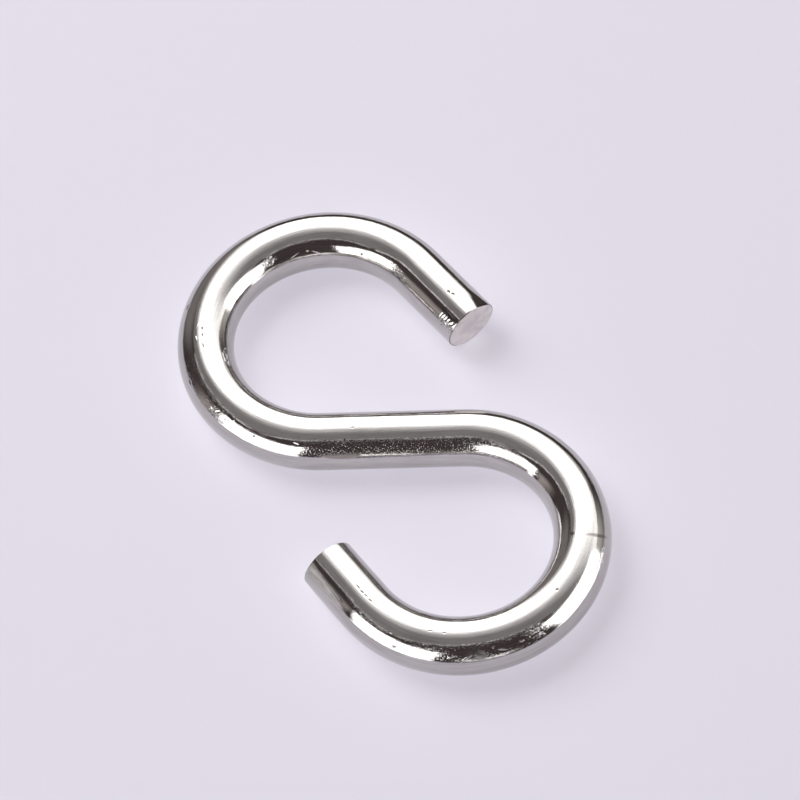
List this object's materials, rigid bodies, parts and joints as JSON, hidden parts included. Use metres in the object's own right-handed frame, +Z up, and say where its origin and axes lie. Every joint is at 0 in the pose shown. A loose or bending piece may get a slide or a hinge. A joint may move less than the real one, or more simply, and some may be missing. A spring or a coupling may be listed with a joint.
{
  "type": "s hook",
  "caption": "S-shaped open hook bent from one length of round plated wire, with an open eye at each end for hanging one thing from another.",
  "frame": {"origin": "on the table under the middle of the hook's outline, as it lies flat on its side", "axes": "+Y along the line of pull, from the lower eye's centre to the upper eye's centre; +Z up through the wire, square to the plane of the S; +X towards the open side of the upper eye"},
  "size_m": [0.0276, 0.0502, 0.005],
  "materials": {
    "plated_wire": "bright nickel plating, lightly worn, sheared ends left satin"
  },
  "bodies": {
    "root": {"hook": "plated_wire"}
  },
  "joints": []
}
